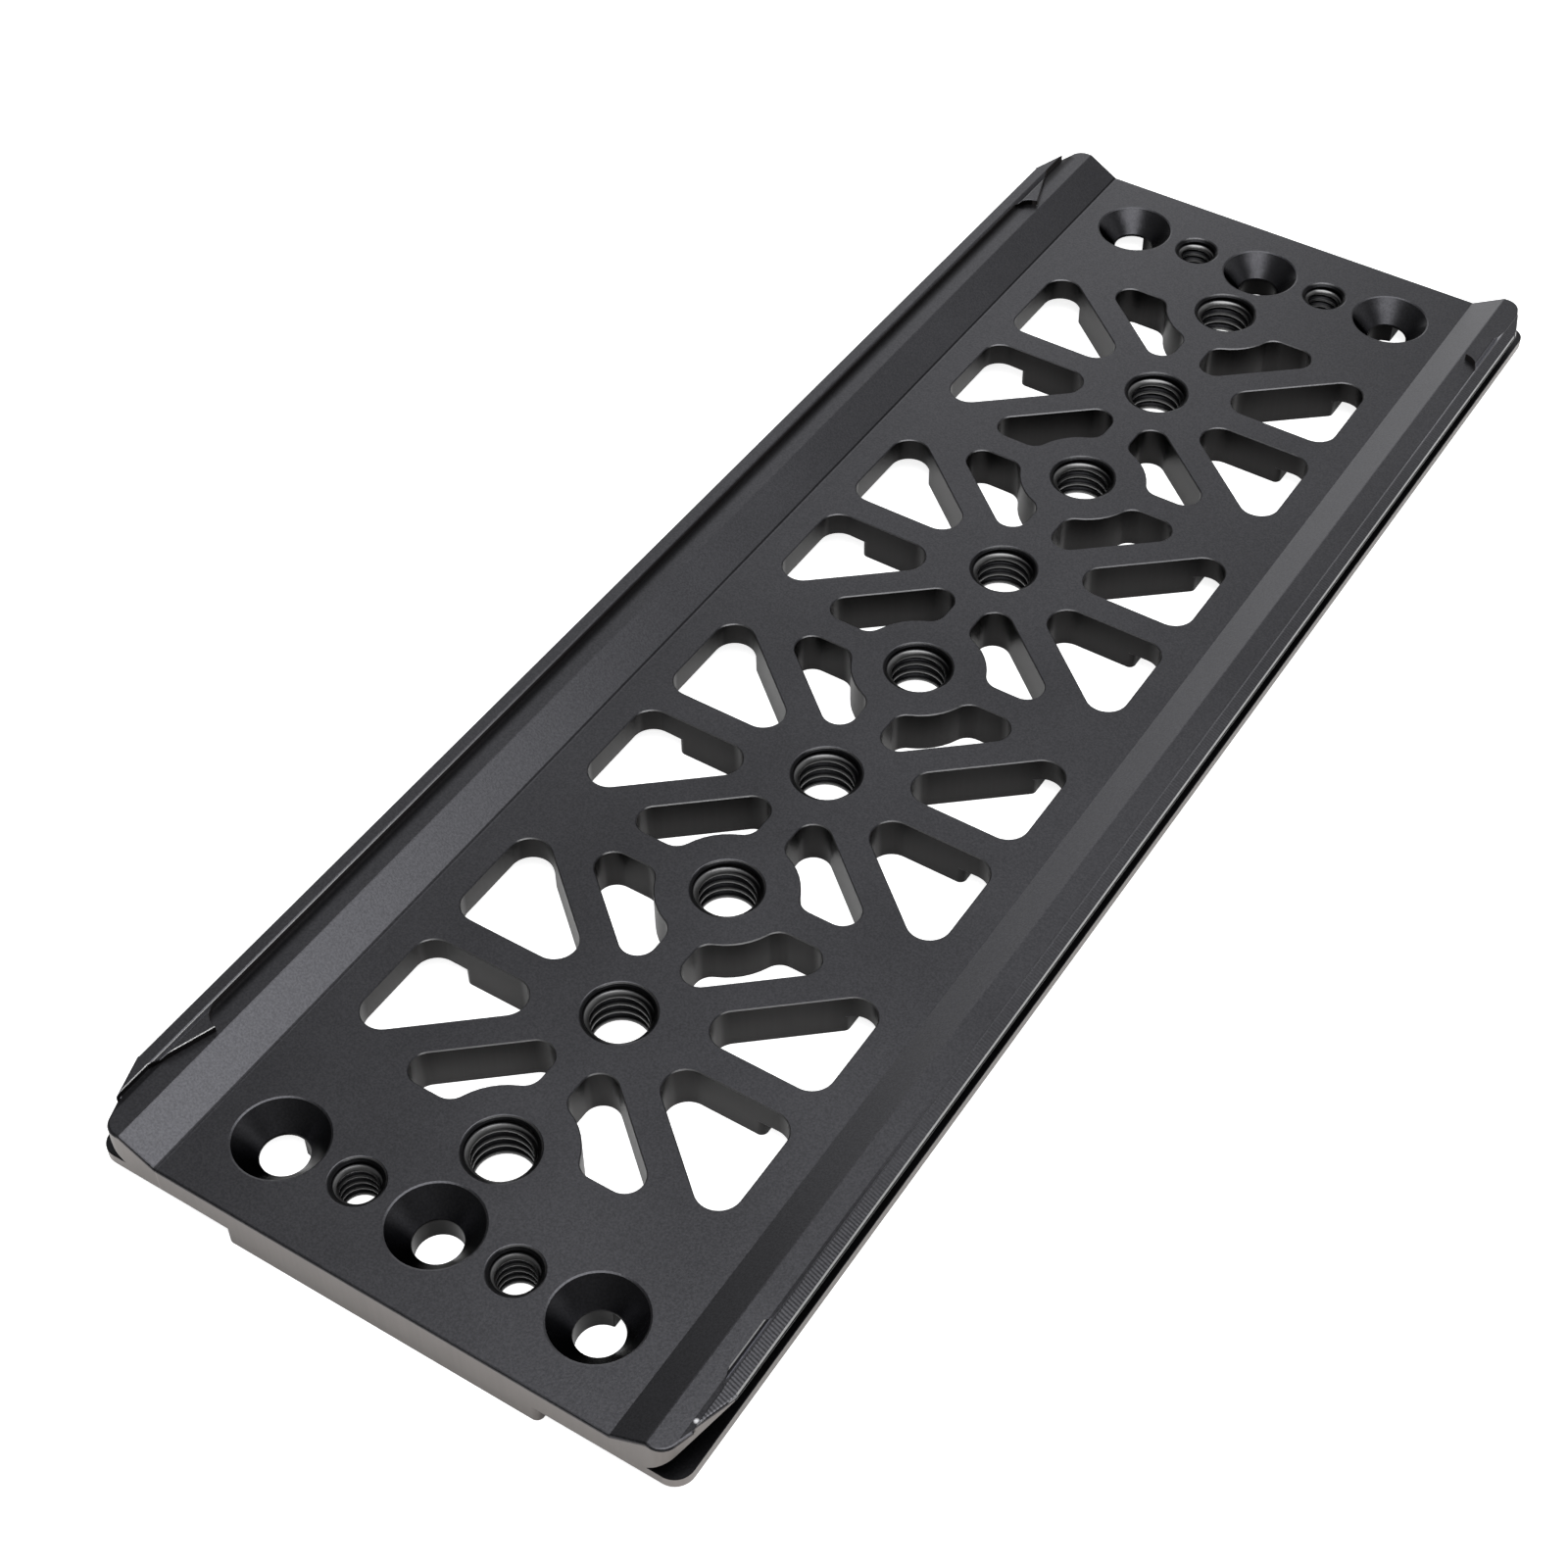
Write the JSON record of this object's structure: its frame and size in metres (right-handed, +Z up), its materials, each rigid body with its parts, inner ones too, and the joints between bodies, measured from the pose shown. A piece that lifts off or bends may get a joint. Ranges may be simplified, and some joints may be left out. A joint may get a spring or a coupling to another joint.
{
  "type": "camera dovetail baseplate",
  "caption": "Long flat camera baseplate with undercut dovetail rails, a centre row of threaded holes, countersunk end holes and triangular lightening windows.",
  "frame": {"origin": "middle of the plate in plan, on the face of the pad underneath", "axes": "+X across the plate, +Y along its length, +Z up through its top face"},
  "size_m": [0.091, 0.254, 0.011],
  "materials": {
    "black_anodised": "bead-blasted, black anodised"
  },
  "bodies": {
    "root": {"baseplate": "black_anodised"}
  },
  "joints": []
}
